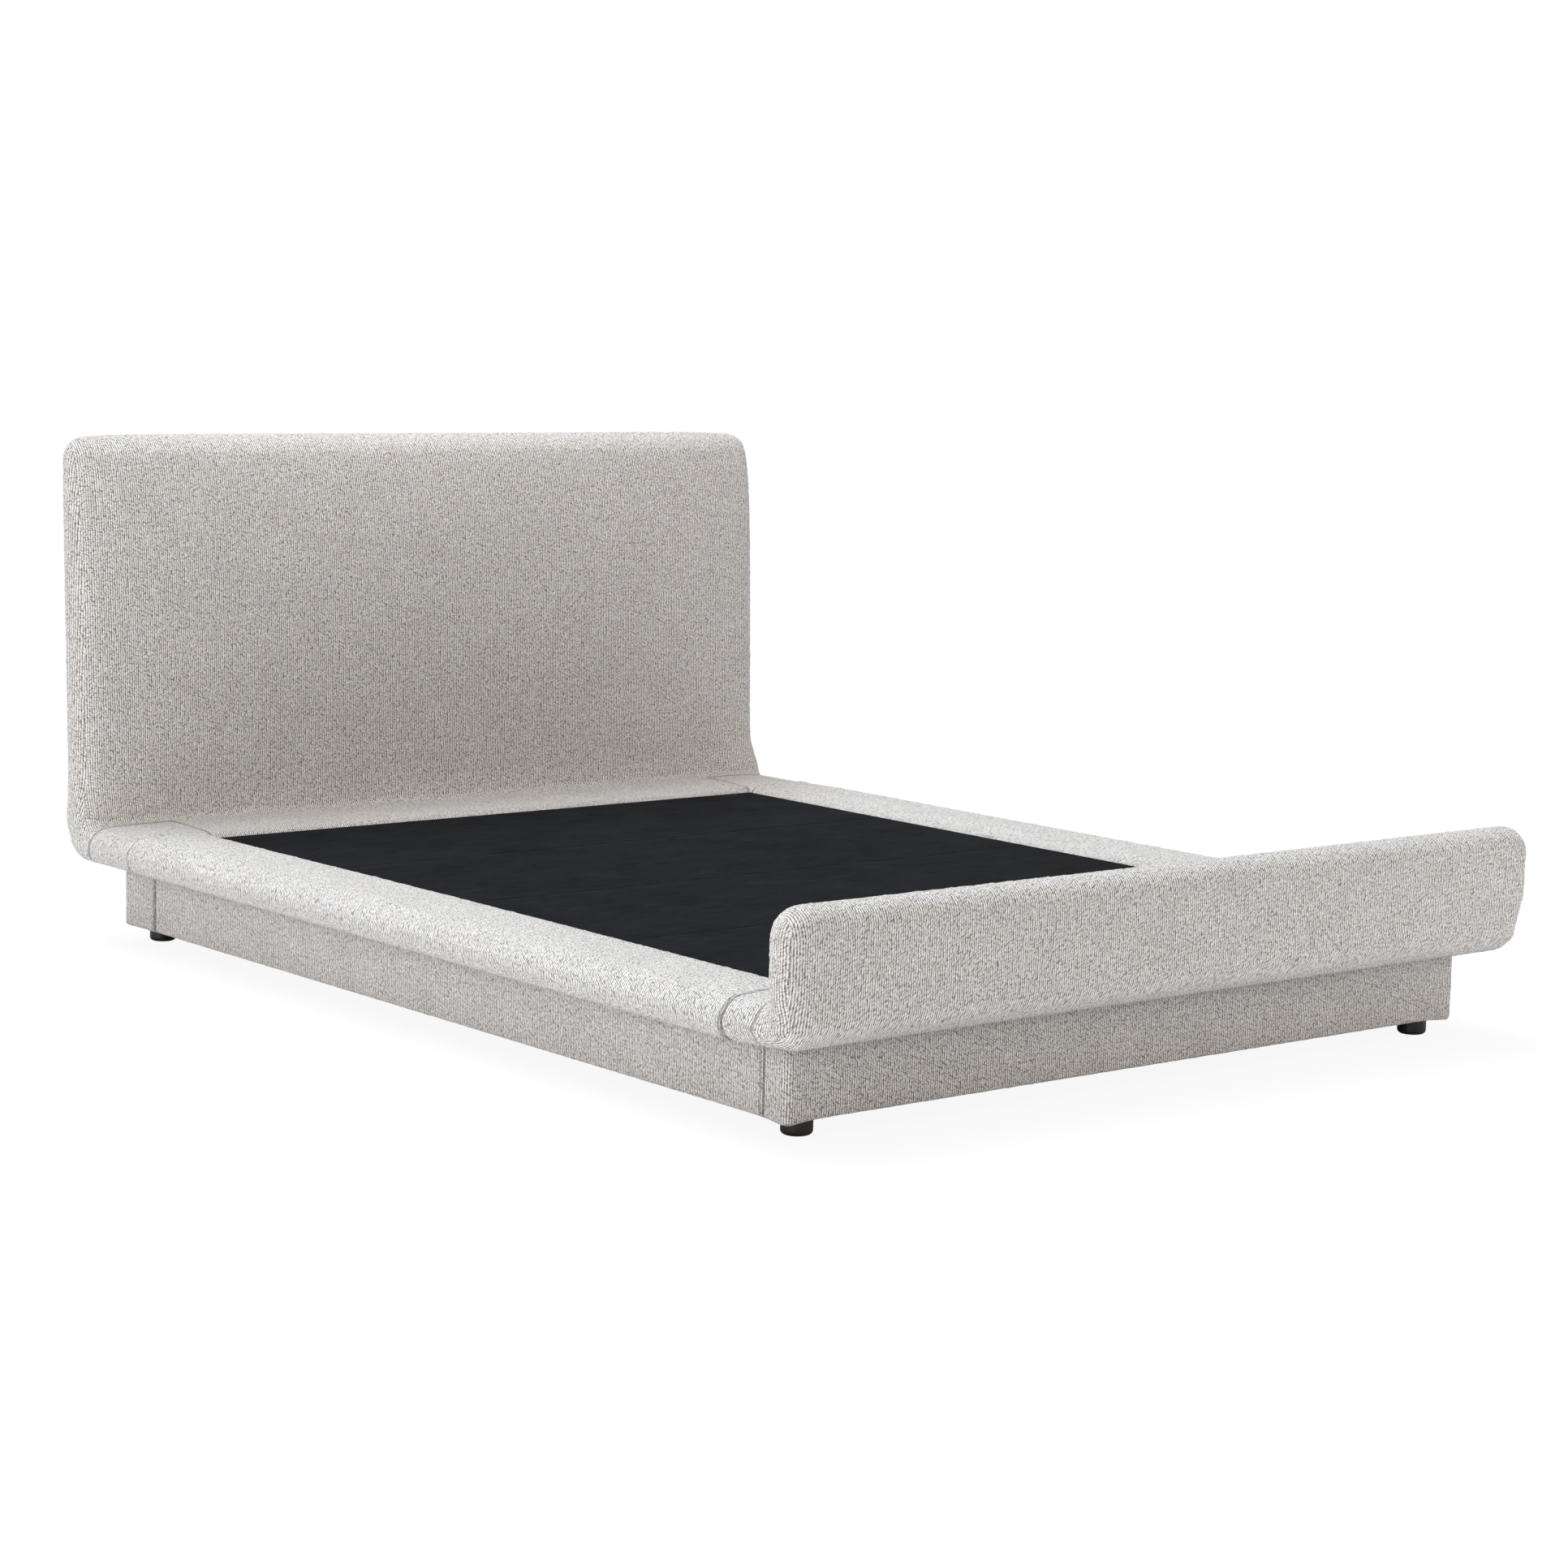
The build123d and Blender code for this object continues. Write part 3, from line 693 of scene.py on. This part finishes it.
def boucle_material():
    """Columns of uneven yarn loops, with slubs, broad colour drift, painted shade between the loops, and
    painted shade in the seams and under the ledge.
    """
    material, tree, shader = new_material("boucle")
    uv = tree.nodes.new("ShaderNodeUVMap")
    uv.uv_map = "weave"
    wander = tree.nodes.new("ShaderNodeTexNoise")
    wander.inputs["Scale"].default_value = WANDER
    wander.inputs["Detail"].default_value = 2.0
    tree.links.new(uv.outputs["UV"], wander.inputs["Vector"])
    split = tree.nodes.new("ShaderNodeSeparateXYZ")
    tree.links.new(uv.outputs["UV"], split.inputs[0])
    drifted = tree.nodes.new("ShaderNodeSeparateXYZ")
    tree.links.new(wander.outputs["Color"], drifted.inputs[0])
    across = math_node(tree, "MULTIPLY_ADD", drifted.outputs["X"], 0.0038, split.outputs["X"])
    upward = math_node(tree, "MULTIPLY_ADD", drifted.outputs["Y"], 0.0070, split.outputs["Y"])
    column = math_node(tree, "DIVIDE", across, COLUMN)
    row = math_node(tree, "DIVIDE", upward, LOOP)
    slanted = math_node(tree, "MULTIPLY_ADD", column, 0.5, row)
    join = tree.nodes.new("ShaderNodeCombineXYZ")
    tree.links.new(column, join.inputs["X"])
    tree.links.new(slanted, join.inputs["Y"])
    cloth = join.outputs[0]
    loops = voronoi(tree, cloth, 1.0, 0.62)
    loop_edge = math_node(tree, "MULTIPLY", loops.outputs["Distance"], 1.25)
    knob = math_node(tree, "SUBTRACT", 1.0, loop_edge, clamp=True)
    own = tree.nodes.new("ShaderNodeSeparateXYZ")
    tree.links.new(loops.outputs["Color"], own.inputs[0])
    turn = math_node(tree, "MULTIPLY", column, math.pi)
    ridge = math_node(tree, "ABSOLUTE", math_node(tree, "SINE", turn))
    fine = noise(tree, cloth, 2.3, 2.0, 0.65)
    uneven = noise(tree, cloth, 0.30, 3.0, 0.6)
    slub = voronoi(tree, cloth, 0.24, 1.0)
    slub_edge = math_node(tree, "MULTIPLY", slub.outputs["Distance"], 3.6)
    tuft = math_node(tree, "SUBTRACT", 1.0, slub_edge, clamp=True)
    ridged = math_node(tree, "MULTIPLY", ridge, 0.44)
    strand = math_node(tree, "ADD", math_node(tree, "MULTIPLY", knob, 0.56), ridged)
    varied = math_node(tree, "SUBTRACT", own.outputs["X"], 0.5)
    strand = math_node(tree, "MULTIPLY_ADD", varied, 0.12, strand)
    strand = math_node(tree, "MULTIPLY_ADD", math_node(tree, "SUBTRACT", uneven, 0.5), 0.20, strand)
    strand = math_node(tree, "MULTIPLY_ADD", tuft, 0.12, strand)
    height = math_node(tree, "MULTIPLY_ADD", fine, 0.36, strand)
    # The colour follows the height of the loops: the low places between them get painted shade, on top
    # of the yarn's own random tone.
    shade = math_node(tree, "MULTIPLY_ADD", math_node(tree, "SUBTRACT", fine, 0.5), 0.45, strand)
    tint = ramp(tree, shade, YARN_AND_PIT_SHADE)
    broad = noise(tree, cloth, 0.05, 3.0, 0.6)
    drift = ramp(tree, broad, [(0.3, (0.925, 0.92, 0.915)), (0.7, (1.0, 1.0, 0.998))])
    tint = mix_colour(tree, 1.0, tint, drift, "MULTIPLY")
    patches = noise(tree, cloth, 0.13, 1.0, 0.5)
    warm = ramp(tree, patches, [(0.42, (1.0, 0.990, 0.975)), (0.60, (0.99, 0.993, 1.0))])
    tint = mix_colour(tree, 1.0, tint, warm, "MULTIPLY")
    # Painted shade: the "groove" attribute darkens the yarn in the seams and under the ledge.
    seam = tree.nodes.new("ShaderNodeAttribute")
    seam.attribute_name = "groove"
    tint = mix_colour(tree, math_node(tree, "MULTIPLY", seam.outputs["Fac"], 0.82), tint, PAINTED_SHADE)
    tree.links.new(tint, shader.inputs["Base Color"])
    shader.inputs["Roughness"].default_value = 0.95
    shader.inputs["Specular IOR Level"].default_value = 0.12
    shader.inputs["Sheen Weight"].default_value = 0.25
    shader.inputs["Sheen Roughness"].default_value = 0.5
    tree.links.new(bump(tree, height, BOUCLE_DEPTH), shader.inputs["Normal"])
    return material


def streaked(name, dark, light, stretch, scale, roughness, metallic=0.0, depth=0.0003, gloss=0.3):
    """A material with grain or fibres drawn out along one direction."""
    material, tree, shader = new_material(name)
    place = tree.nodes.new("ShaderNodeTexCoord")
    mapping = tree.nodes.new("ShaderNodeMapping")
    mapping.inputs["Scale"].default_value = stretch
    tree.links.new(place.outputs["Object"], mapping.inputs["Vector"])
    drawn = mapping.outputs["Vector"]
    grain = noise(tree, drawn, scale, 5.0, 0.65)
    cloud = noise(tree, place.outputs["Object"], 7.0, 3.0, 0.6)
    clouded = math_node(tree, "MULTIPLY", cloud, 0.3)
    both = math_node(tree, "ADD", math_node(tree, "MULTIPLY", grain, 0.7), clouded)
    tree.links.new(ramp(tree, both, [(0.32, dark), (0.68, light)]), shader.inputs["Base Color"])
    shader.inputs["Roughness"].default_value = roughness
    shader.inputs["Metallic"].default_value = metallic
    shader.inputs["Specular IOR Level"].default_value = gloss
    tree.links.new(bump(tree, both, depth), shader.inputs["Normal"])
    return material


# ---------------------------------------------------------------- light and floor

SKY = 0.435
SKY_TINT = (1.12, 0.97, 0.90)
TOP = 2.62                  # strength of the sun from above
TOP_TINT = (0.87, 1.0, 1.09)
LOW = 0.96                  # strength of the low sun from the left
SUN_SPREAD = 40             # degrees, so wide that the suns' shadows are soft
HEAD_LIGHT = 22.0           # watts, as for the two below
RIGHT = 12.0
BAND = 6.0
FLOOR_WHITE = 0.92          # how far the floor is lifted to white where the camera sees it


def make_stage():
    """The pale floor, the white surroundings and the studio lights."""
    bpy.ops.mesh.primitive_plane_add(size=60)
    floor = bpy.context.object
    floor.name = "floor"
    material, tree, shader = new_material("floor")
    shader.inputs["Base Color"].default_value = (0.95, 0.95, 0.95, 1)
    shader.inputs["Roughness"].default_value = 0.9
    glow = tree.nodes.new("ShaderNodeEmission")
    blend = tree.nodes.new("ShaderNodeMixShader")
    direct = tree.nodes.new("ShaderNodeLightPath")
    share = math_node(tree, "MULTIPLY", direct.outputs["Is Camera Ray"], FLOOR_WHITE)
    tree.links.new(share, blend.inputs["Fac"])
    tree.links.new(shader.outputs["BSDF"], blend.inputs[1])
    tree.links.new(glow.outputs["Emission"], blend.inputs[2])
    tree.links.new(blend.outputs["Shader"], tree.nodes["Material Output"].inputs["Surface"])
    floor.data.materials.append(material)
    world = bpy.data.worlds.new("world")
    bpy.context.scene.world = world
    world.use_nodes = True
    tree = world.node_tree
    sky = tree.nodes["Background"]
    sky.inputs["Color"].default_value = (*SKY_TINT, 1.0)
    sky.inputs["Strength"].default_value = SKY
    seen = tree.nodes.new("ShaderNodeBackground")
    seen.inputs["Color"].default_value = (1.0, 1.0, 1.0, 1.0)
    ray = tree.nodes.new("ShaderNodeLightPath")
    mix = tree.nodes.new("ShaderNodeMixShader")
    tree.links.new(ray.outputs["Is Camera Ray"], mix.inputs["Fac"])
    tree.links.new(sky.outputs["Background"], mix.inputs[1])
    tree.links.new(seen.outputs["Background"], mix.inputs[2])
    tree.links.new(mix.outputs["Shader"], tree.nodes["World Output"].inputs["Surface"])
    bpy.context.scene.view_settings.view_transform = "Standard"
    sun("top", (0.10, -0.35, -1.0), TOP, TOP_TINT)
    sun("low", (0.93, 0.30, -0.20), LOW, (1.0, 1.0, 1.0))
    area_light("head", (-1.3, -1.0, 2.9), (0.0, 1.2, 0.65), (1.6, 1.6), HEAD_LIGHT)
    area_light("right", (2.6, -3.2, 0.7), (0.9, -1.3, 0.2), (0.9, 0.9), RIGHT)
    area_light("band", (-0.1, 0.75, 2.3), (-0.1, 1.22, 1.1), (1.9, 0.4), BAND)


def sun(name, direction, strength, colour):
    data = bpy.data.lights.new(name, "SUN")
    data.energy = strength
    data.color = colour
    data.angle = math.radians(SUN_SPREAD)
    lamp = bpy.data.objects.new(name, data)
    bpy.context.scene.collection.objects.link(lamp)
    lamp.rotation_euler = Vector(direction).to_track_quat("-Z", "Y").to_euler()


def area_light(name, place, target, size, power):
    data = bpy.data.lights.new(name, "AREA")
    data.shape = "RECTANGLE"
    data.size, data.size_y = size
    data.energy = power
    lamp = bpy.data.objects.new(name, data)
    bpy.context.scene.collection.objects.link(lamp)
    lamp.location = place
    lamp.rotation_euler = (Vector(target) - Vector(place)).to_track_quat("-Z", "Y").to_euler()


# ---------------------------------------------------------------- the materials and the padded pieces

boucle = boucle_material()
black = streaked(
    "black_nonwoven", (0.0024, 0.0027, 0.0034), (0.0150, 0.0163, 0.0192), (14.0, 160.0, 60.0),
    1.0, 0.85, depth=0.0006, gloss=0.04,
)
TIMBER = ((0.40, 0.27, 0.15), (0.62, 0.46, 0.29))
PLYWOOD = ((0.46, 0.33, 0.20), (0.68, 0.53, 0.36))
ZINC = ((0.42, 0.43, 0.44), (0.66, 0.67, 0.68))
PLASTIC = ((0.006, 0.006, 0.006), (0.013, 0.013, 0.014))
GLIDE = ((0.045, 0.045, 0.047), (0.08, 0.08, 0.083))
MATERIALS = {
    "timber": streaked("timber", *TIMBER, (3.0, 3.0, 40.0), 1.4, 0.7),
    "long_timber": streaked("long_timber", *TIMBER, (40.0, 3.0, 40.0), 1.4, 0.7),
    "plywood": streaked("plywood", *PLYWOOD, (4.0, 34.0, 60.0), 1.2, 0.65),
    "zinc_steel": streaked("zinc_steel", *ZINC, (30.0, 30.0, 60.0), 2.0, 0.38, metallic=1.0),
    "black_plastic": streaked(
        "black_plastic", *PLASTIC, (90.0, 90.0, 90.0), 2.0, 0.36, depth=0.0001, gloss=0.5
    ),
    "glide": streaked("glide", *GLIDE, (60.0, 60.0, 60.0), 2.0, 0.55),
}
HEAD_STEP = 0.0072          # spacing of the points on the headboard's surface
SURFACE_STEP = 0.0045


def make_modules():
    padded_piece(
        "headboard_upholstery", head_field, head_low, head_high, HEAD_STEP, head_weave,
        ["headboard_cover", "headboard_foam", "head_ledge_foam"], seams=[HEAD_SEAM],
    )
    padded_piece(
        "footboard_upholstery", foot_field, foot_low, foot_high, SURFACE_STEP, foot_weave,
        ["footboard_cover", "footboard_foam", "foot_ledge_foam"], seams=[FOOT_SEAM],
    )
    for name, side in (("left", -1), ("right", 1)):
        low, high = (np.array(corner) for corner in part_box(f"{name}_rail_cover"))
        padded_piece(
            f"{name}_rail_upholstery", rail_field(side), low, high, SURFACE_STEP, rail_weave,
            [f"{name}_rail_cover", f"{name}_rail_foam"], seams=[FOOT_SEAM, HEAD_SEAM],
        )


# ---------------------------------------------------------------- plinth

PLINTH_ROUND = 0.016        # radius of the upright corners
PLINTH_EASE = 0.009         # radius where the cloth turns under the board
PLINTH_SKIN = 0.003
PLINTH_TURN = 0.021         # how far in the cloth is turned under
PLINTH_GAP = 0.0008         # clearance below the padded pieces
PLINTH_STEP = 0.0055
PLINTH_SHADE = 0.014        # how far down from the ledge the painted shade under it fades


def rounded_path(corners, radius, step, fine=0.0012, near=0.012):
    """Points and outward directions along a run with rounded corners, closer together near its ends."""
    corners = [np.array(c, float) for c in corners]
    line = [corners[0]]
    for before, here, after in zip(corners, corners[1:], corners[2:]):
        a = (before - here) / lengths(*(before - here))
        b = (after - here) / lengths(*(after - here))
        centre = here + radius * (a + b)
        for t in np.linspace(0, math.pi / 2, 9):
            line.append(centre - radius * (b * math.cos(t) + a * math.sin(t)))
    line.append(corners[-1])
    line = np.array(line)
    at = np.concatenate([[0], np.cumsum(lengths(*np.diff(line, axis=0).T))])
    total = at[-1]
    ends = np.arange(0, near, fine)
    middle = np.linspace(near, total - near, int((total - 2 * near) / step) + 2)
    wanted = np.concatenate([ends, middle, total - ends[::-1]])
    points = np.stack([np.interp(wanted, at, line[:, n]) for n in (0, 1)], 1)
    along = np.gradient(points, axis=0)
    along /= lengths(*along.T)[:, None]
    return points, np.stack([along[:, 1], -along[:, 0]], 1), wanted


def plinth_section(low, high, step):
    """The wrap's outline: down the outside, under the board, and back up inside the skin."""
    def skin(inset):
        turn = PLINTH_EASE - inset
        upright = [(-inset, z) for z in np.linspace(high, low + PLINTH_EASE, int((high - low) / step))]
        arc = [
            (-PLINTH_EASE + turn * math.cos(t), low + PLINTH_EASE - turn * math.sin(t))
            for t in np.linspace(0, math.pi / 2, 7)[1:]
        ]
        return upright + arc + [(-PLINTH_TURN, low + inset)]
    return np.array(skin(0.0) + skin(PLINTH_SKIN)[::-1])


def grid_faces(rows, columns):
    """Quads over rows and columns, closed along the columns."""
    r, c = np.meshgrid(np.arange(rows - 1), np.arange(columns), indexing="ij")
    r, c = r.ravel(), c.ravel()
    d = (c + 1) % columns
    return np.stack([r * columns + c, r * columns + d, (r + 1) * columns + d, (r + 1) * columns + c], 1)


def make_plinth_cover(name, corners):
    """One run of the wrap, from seam to seam, a little slack and drooping at its corners."""
    path, outward, at = rounded_path(corners, PLINTH_ROUND, PLINTH_STEP)
    section = plinth_section(PLINTH_LOW, UNDER - PLINTH_GAP, PLINTH_STEP)
    rows, columns = len(path), len(section)
    seam = np.minimum(at, at[-1] - at)
    tuck = seam_profile(seam)
    sideways = np.abs(path[:, 0]) - PLINTH_HALF
    near_front = np.exp(-np.square(lengths(sideways, path[:, 1] - PLINTH_FRONT) / 0.055))
    near_back = np.exp(-np.square(lengths(sideways, path[:, 1] - PLINTH_BACK) / 0.05))
    points = np.zeros((rows, columns, 3))
    depth = section[:, 0]
    outside = depth > -PLINTH_SKIN / 2
    wave = 0.0009 * np.sin(at[:, None] * 23.0 + 1.7 * np.sin(at[:, None] * 7.0)) * np.ones(columns)
    offset = depth[None, :] + np.where(outside, tuck[:, None] + wave, 0.0)
    points[..., :2] = path[:, None, :] + outward[:, None, :] * offset[..., None]
    foot_of_it = np.clip((0.11 - section[:, 1]) / 0.075, 0.0, 1.0)
    droop = 0.0055 * near_front[:, None] + 0.002 * near_back[:, None]
    points[..., 2] = section[:, 1] - foot_of_it[None, :] * droop
    faces = grid_faces(rows, columns)
    caps = [list(range(columns)), [(rows - 1) * columns + n for n in range(columns)][::-1]]
    piece = new_object(f"plinth_{name}_wrap", points.reshape(-1, 3), [*faces.tolist(), *caps])
    mesh = piece.data
    around = np.concatenate([[0], np.cumsum(lengths(*np.diff(section, axis=0).T))])
    uv = np.stack(np.broadcast_arrays(at[:, None], -around[None, :]), -1).reshape(-1, 2)
    store_weave(mesh, uv[loop_vertices(mesh)])
    # Painted shade: darker in the stitch grooves beside each seam and towards the top, under the ledge.
    stitch_shade = np.exp(-np.square((seam - STITCH_OFF) / 0.0014))
    shade = np.exp(-(UNDER - section[:, 1]) / PLINTH_SHADE)
    store_painted_shade(mesh, np.maximum(stitch_shade[:, None], shade[None, :]).ravel())
    nubs(piece, 0.0004)
    mesh.materials.append(boucle)
    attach(piece, ROOT)
    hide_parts(f"plinth_{name}_cover")


def seam_profile(distance):
    """Height of the cloth beside a seam that is topstitched on both sides."""
    groove = -STITCH_DEPTH * np.exp(-np.square((distance - STITCH_OFF) / 0.0012))
    return groove - STITCH_DEPTH * np.exp(-np.square(distance / 0.0014))


def make_plinth():
    left, right = -PLINTH_HALF, PLINTH_HALF
    front, back = PLINTH_FRONT, PLINTH_BACK
    gap = 0.0002
    near, far = FOOT_SEAM, PLINTH_BACK_SEAM
    runs = {
        "front": [(left, near - gap), (left, front), (right, front), (right, near - gap)],
        "back": [(right, far + gap), (right, back), (left, back), (left, far + gap)],
        "left": [(left, far - gap), (left, near + gap)],
        "right": [(right, near + gap), (right, far - gap)],
    }
    for name, corners in runs.items():
        make_plinth_cover(name, corners)


# ---------------------------------------------------------------- deck

DECK_CLOTH = 0.0008         # thickness
TURN_UNDER = 0.048
DECK_EDGE = 0.0022          # radius where the cloth turns over the panel's edge
CRUMPLE = 0.0011
WAVES = [(3.1, 31.0), (7.3, 18.0), (-5.2, 47.0), (11.0, 23.0), (1.7, 9.0), (4.4, 66.0)]


def fold(half, drop, step):
    """Places and depths across a panel's cloth: flat on top, down the edge and turned under."""
    flat = np.linspace(0.0, half - DECK_EDGE, int(half / step))
    turn = np.linspace(0.0, math.pi / 2, 4)[1:]
    arc = [(half - DECK_EDGE + DECK_EDGE * math.sin(t), DECK_EDGE * (math.cos(t) - 1.0)) for t in turn]
    low = [
        (half - DECK_EDGE + DECK_EDGE * math.cos(t), DECK_EDGE - drop - DECK_EDGE * math.sin(t))
        for t in turn[:-1]
    ]
    under = [(place, -drop) for place in np.linspace(half - DECK_EDGE, half - TURN_UNDER, 6)]
    side = [(a, 0.0) for a in flat] + arc + [(half, -drop + DECK_EDGE)] + low + under
    other = [(-a, d) for a, d in side[:0:-1]]
    return np.array(other + side)


def make_deck_cloth(number):
    """The black cloth round one deck panel, with two faces and a rim."""
    low, high = (np.array(corner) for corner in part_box(f"deck_cloth_{number}"))
    middle, half = (low + high) / 2, (high - low) / 2
    drop = float(high[2] - low[2])
    across, along = fold(half[0], drop, 0.02), fold(half[1], drop, 0.011)
    rows, columns = len(across), len(along)
    x, y = np.meshgrid(across[:, 0], along[:, 0], indexing="ij")
    z = across[:, None, 1] + along[None, :, 1]
    phase = rng.uniform(0, 6.0, len(WAVES))
    crumple = sum(np.sin(x * a + y * b + p) for (a, b), p in zip(WAVES, phase)) / len(WAVES)
    edge = np.minimum(half[0] - np.abs(x), half[1] - np.abs(y))
    crumple = CRUMPLE * np.clip(0.55 + crumple, 0.0, 1.0) * ramped(edge, 0.0, 0.05)
    height = high[2] - DECK_CLOTH + z + crumple
    outer = np.stack([middle[0] + x, middle[1] + y, height], -1).reshape(-1, 3)
    keep = (across[:, None, 1] == 0) | (along[None, :, 1] == 0)
    r, c = np.meshgrid(np.arange(rows - 1), np.arange(columns - 1), indexing="ij")
    whole = keep[:-1, :-1] & keep[1:, :-1] & keep[:-1, 1:] & keep[1:, 1:]
    r, c = r[whole], c[whole]
    first, beyond = r * columns + c, (r + 1) * columns + c
    quads = np.stack([first, beyond, beyond + 1, first + 1], 1)
    used, index = np.unique(quads, return_inverse=True)
    points, quads = outer[used], index.reshape(quads.shape)
    piece = new_object(f"deck_cloth_{number}_wrap", points, quads)
    normals = vertex_array(piece.data, "normal")
    edges = np.concatenate([quads[:, [n, (n + 1) % 4]] for n in range(4)])
    known = {tuple(e) for e in edges.tolist()}
    rim = np.array([(a, b) for a, b in edges.tolist() if (b, a) not in known])
    count = len(points)
    inner = points - DECK_CLOTH * normals
    faces = [*quads.tolist(), *(quads[:, ::-1] + count).tolist()]
    faces += [[b, a, a + count, b + count] for a, b in rim.tolist()]
    bpy.data.objects.remove(piece)
    piece = new_object(f"deck_cloth_{number}_wrap", np.concatenate([points, inner]), faces)
    piece.data.materials.append(black)
    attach(piece, ROOT)
    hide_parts(f"deck_cloth_{number}")


# ---------------------------------------------------------------- the frame's own pieces

# Each node takes the first look that has one of its words.
LOOKS = {
    "long_timber": [
        "headboard_rail", "head_cross", "foot_cross", "deck_battens", "foot_ledge", "head_ledge"
    ],
    "timber": ["headboard_posts", "side_rail", "centre_beam", "corner_blocks", "centre_leg", "cleat"],
    "plywood": ["panel", "gussets", "board", "core"],
    "zinc_steel": ["beam_hangers", "corner_brackets", "bolts", "screws"],
    "black_plastic": ["foot_front", "foot_back"],
    "glide": ["glide"],
}


def look_of(node):
    """The material of a node of the frame. The cloth and foam nodes are replaced, so never seen."""
    if "deck_cloth" in node:
        return black
    if "cover" in node or "foam" in node:
        return boucle
    return MATERIALS[[look for look, words in LOOKS.items() if any(word in node for word in words)][0]]


def dress_frame():
    for node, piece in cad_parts.items():
        for slot in piece.material_slots:
            slot.material = look_of(node)


make_camera()
make_stage()
make_modules()
make_plinth()
for number in (1, 2, 3, 4):
    make_deck_cloth(number)
dress_frame()
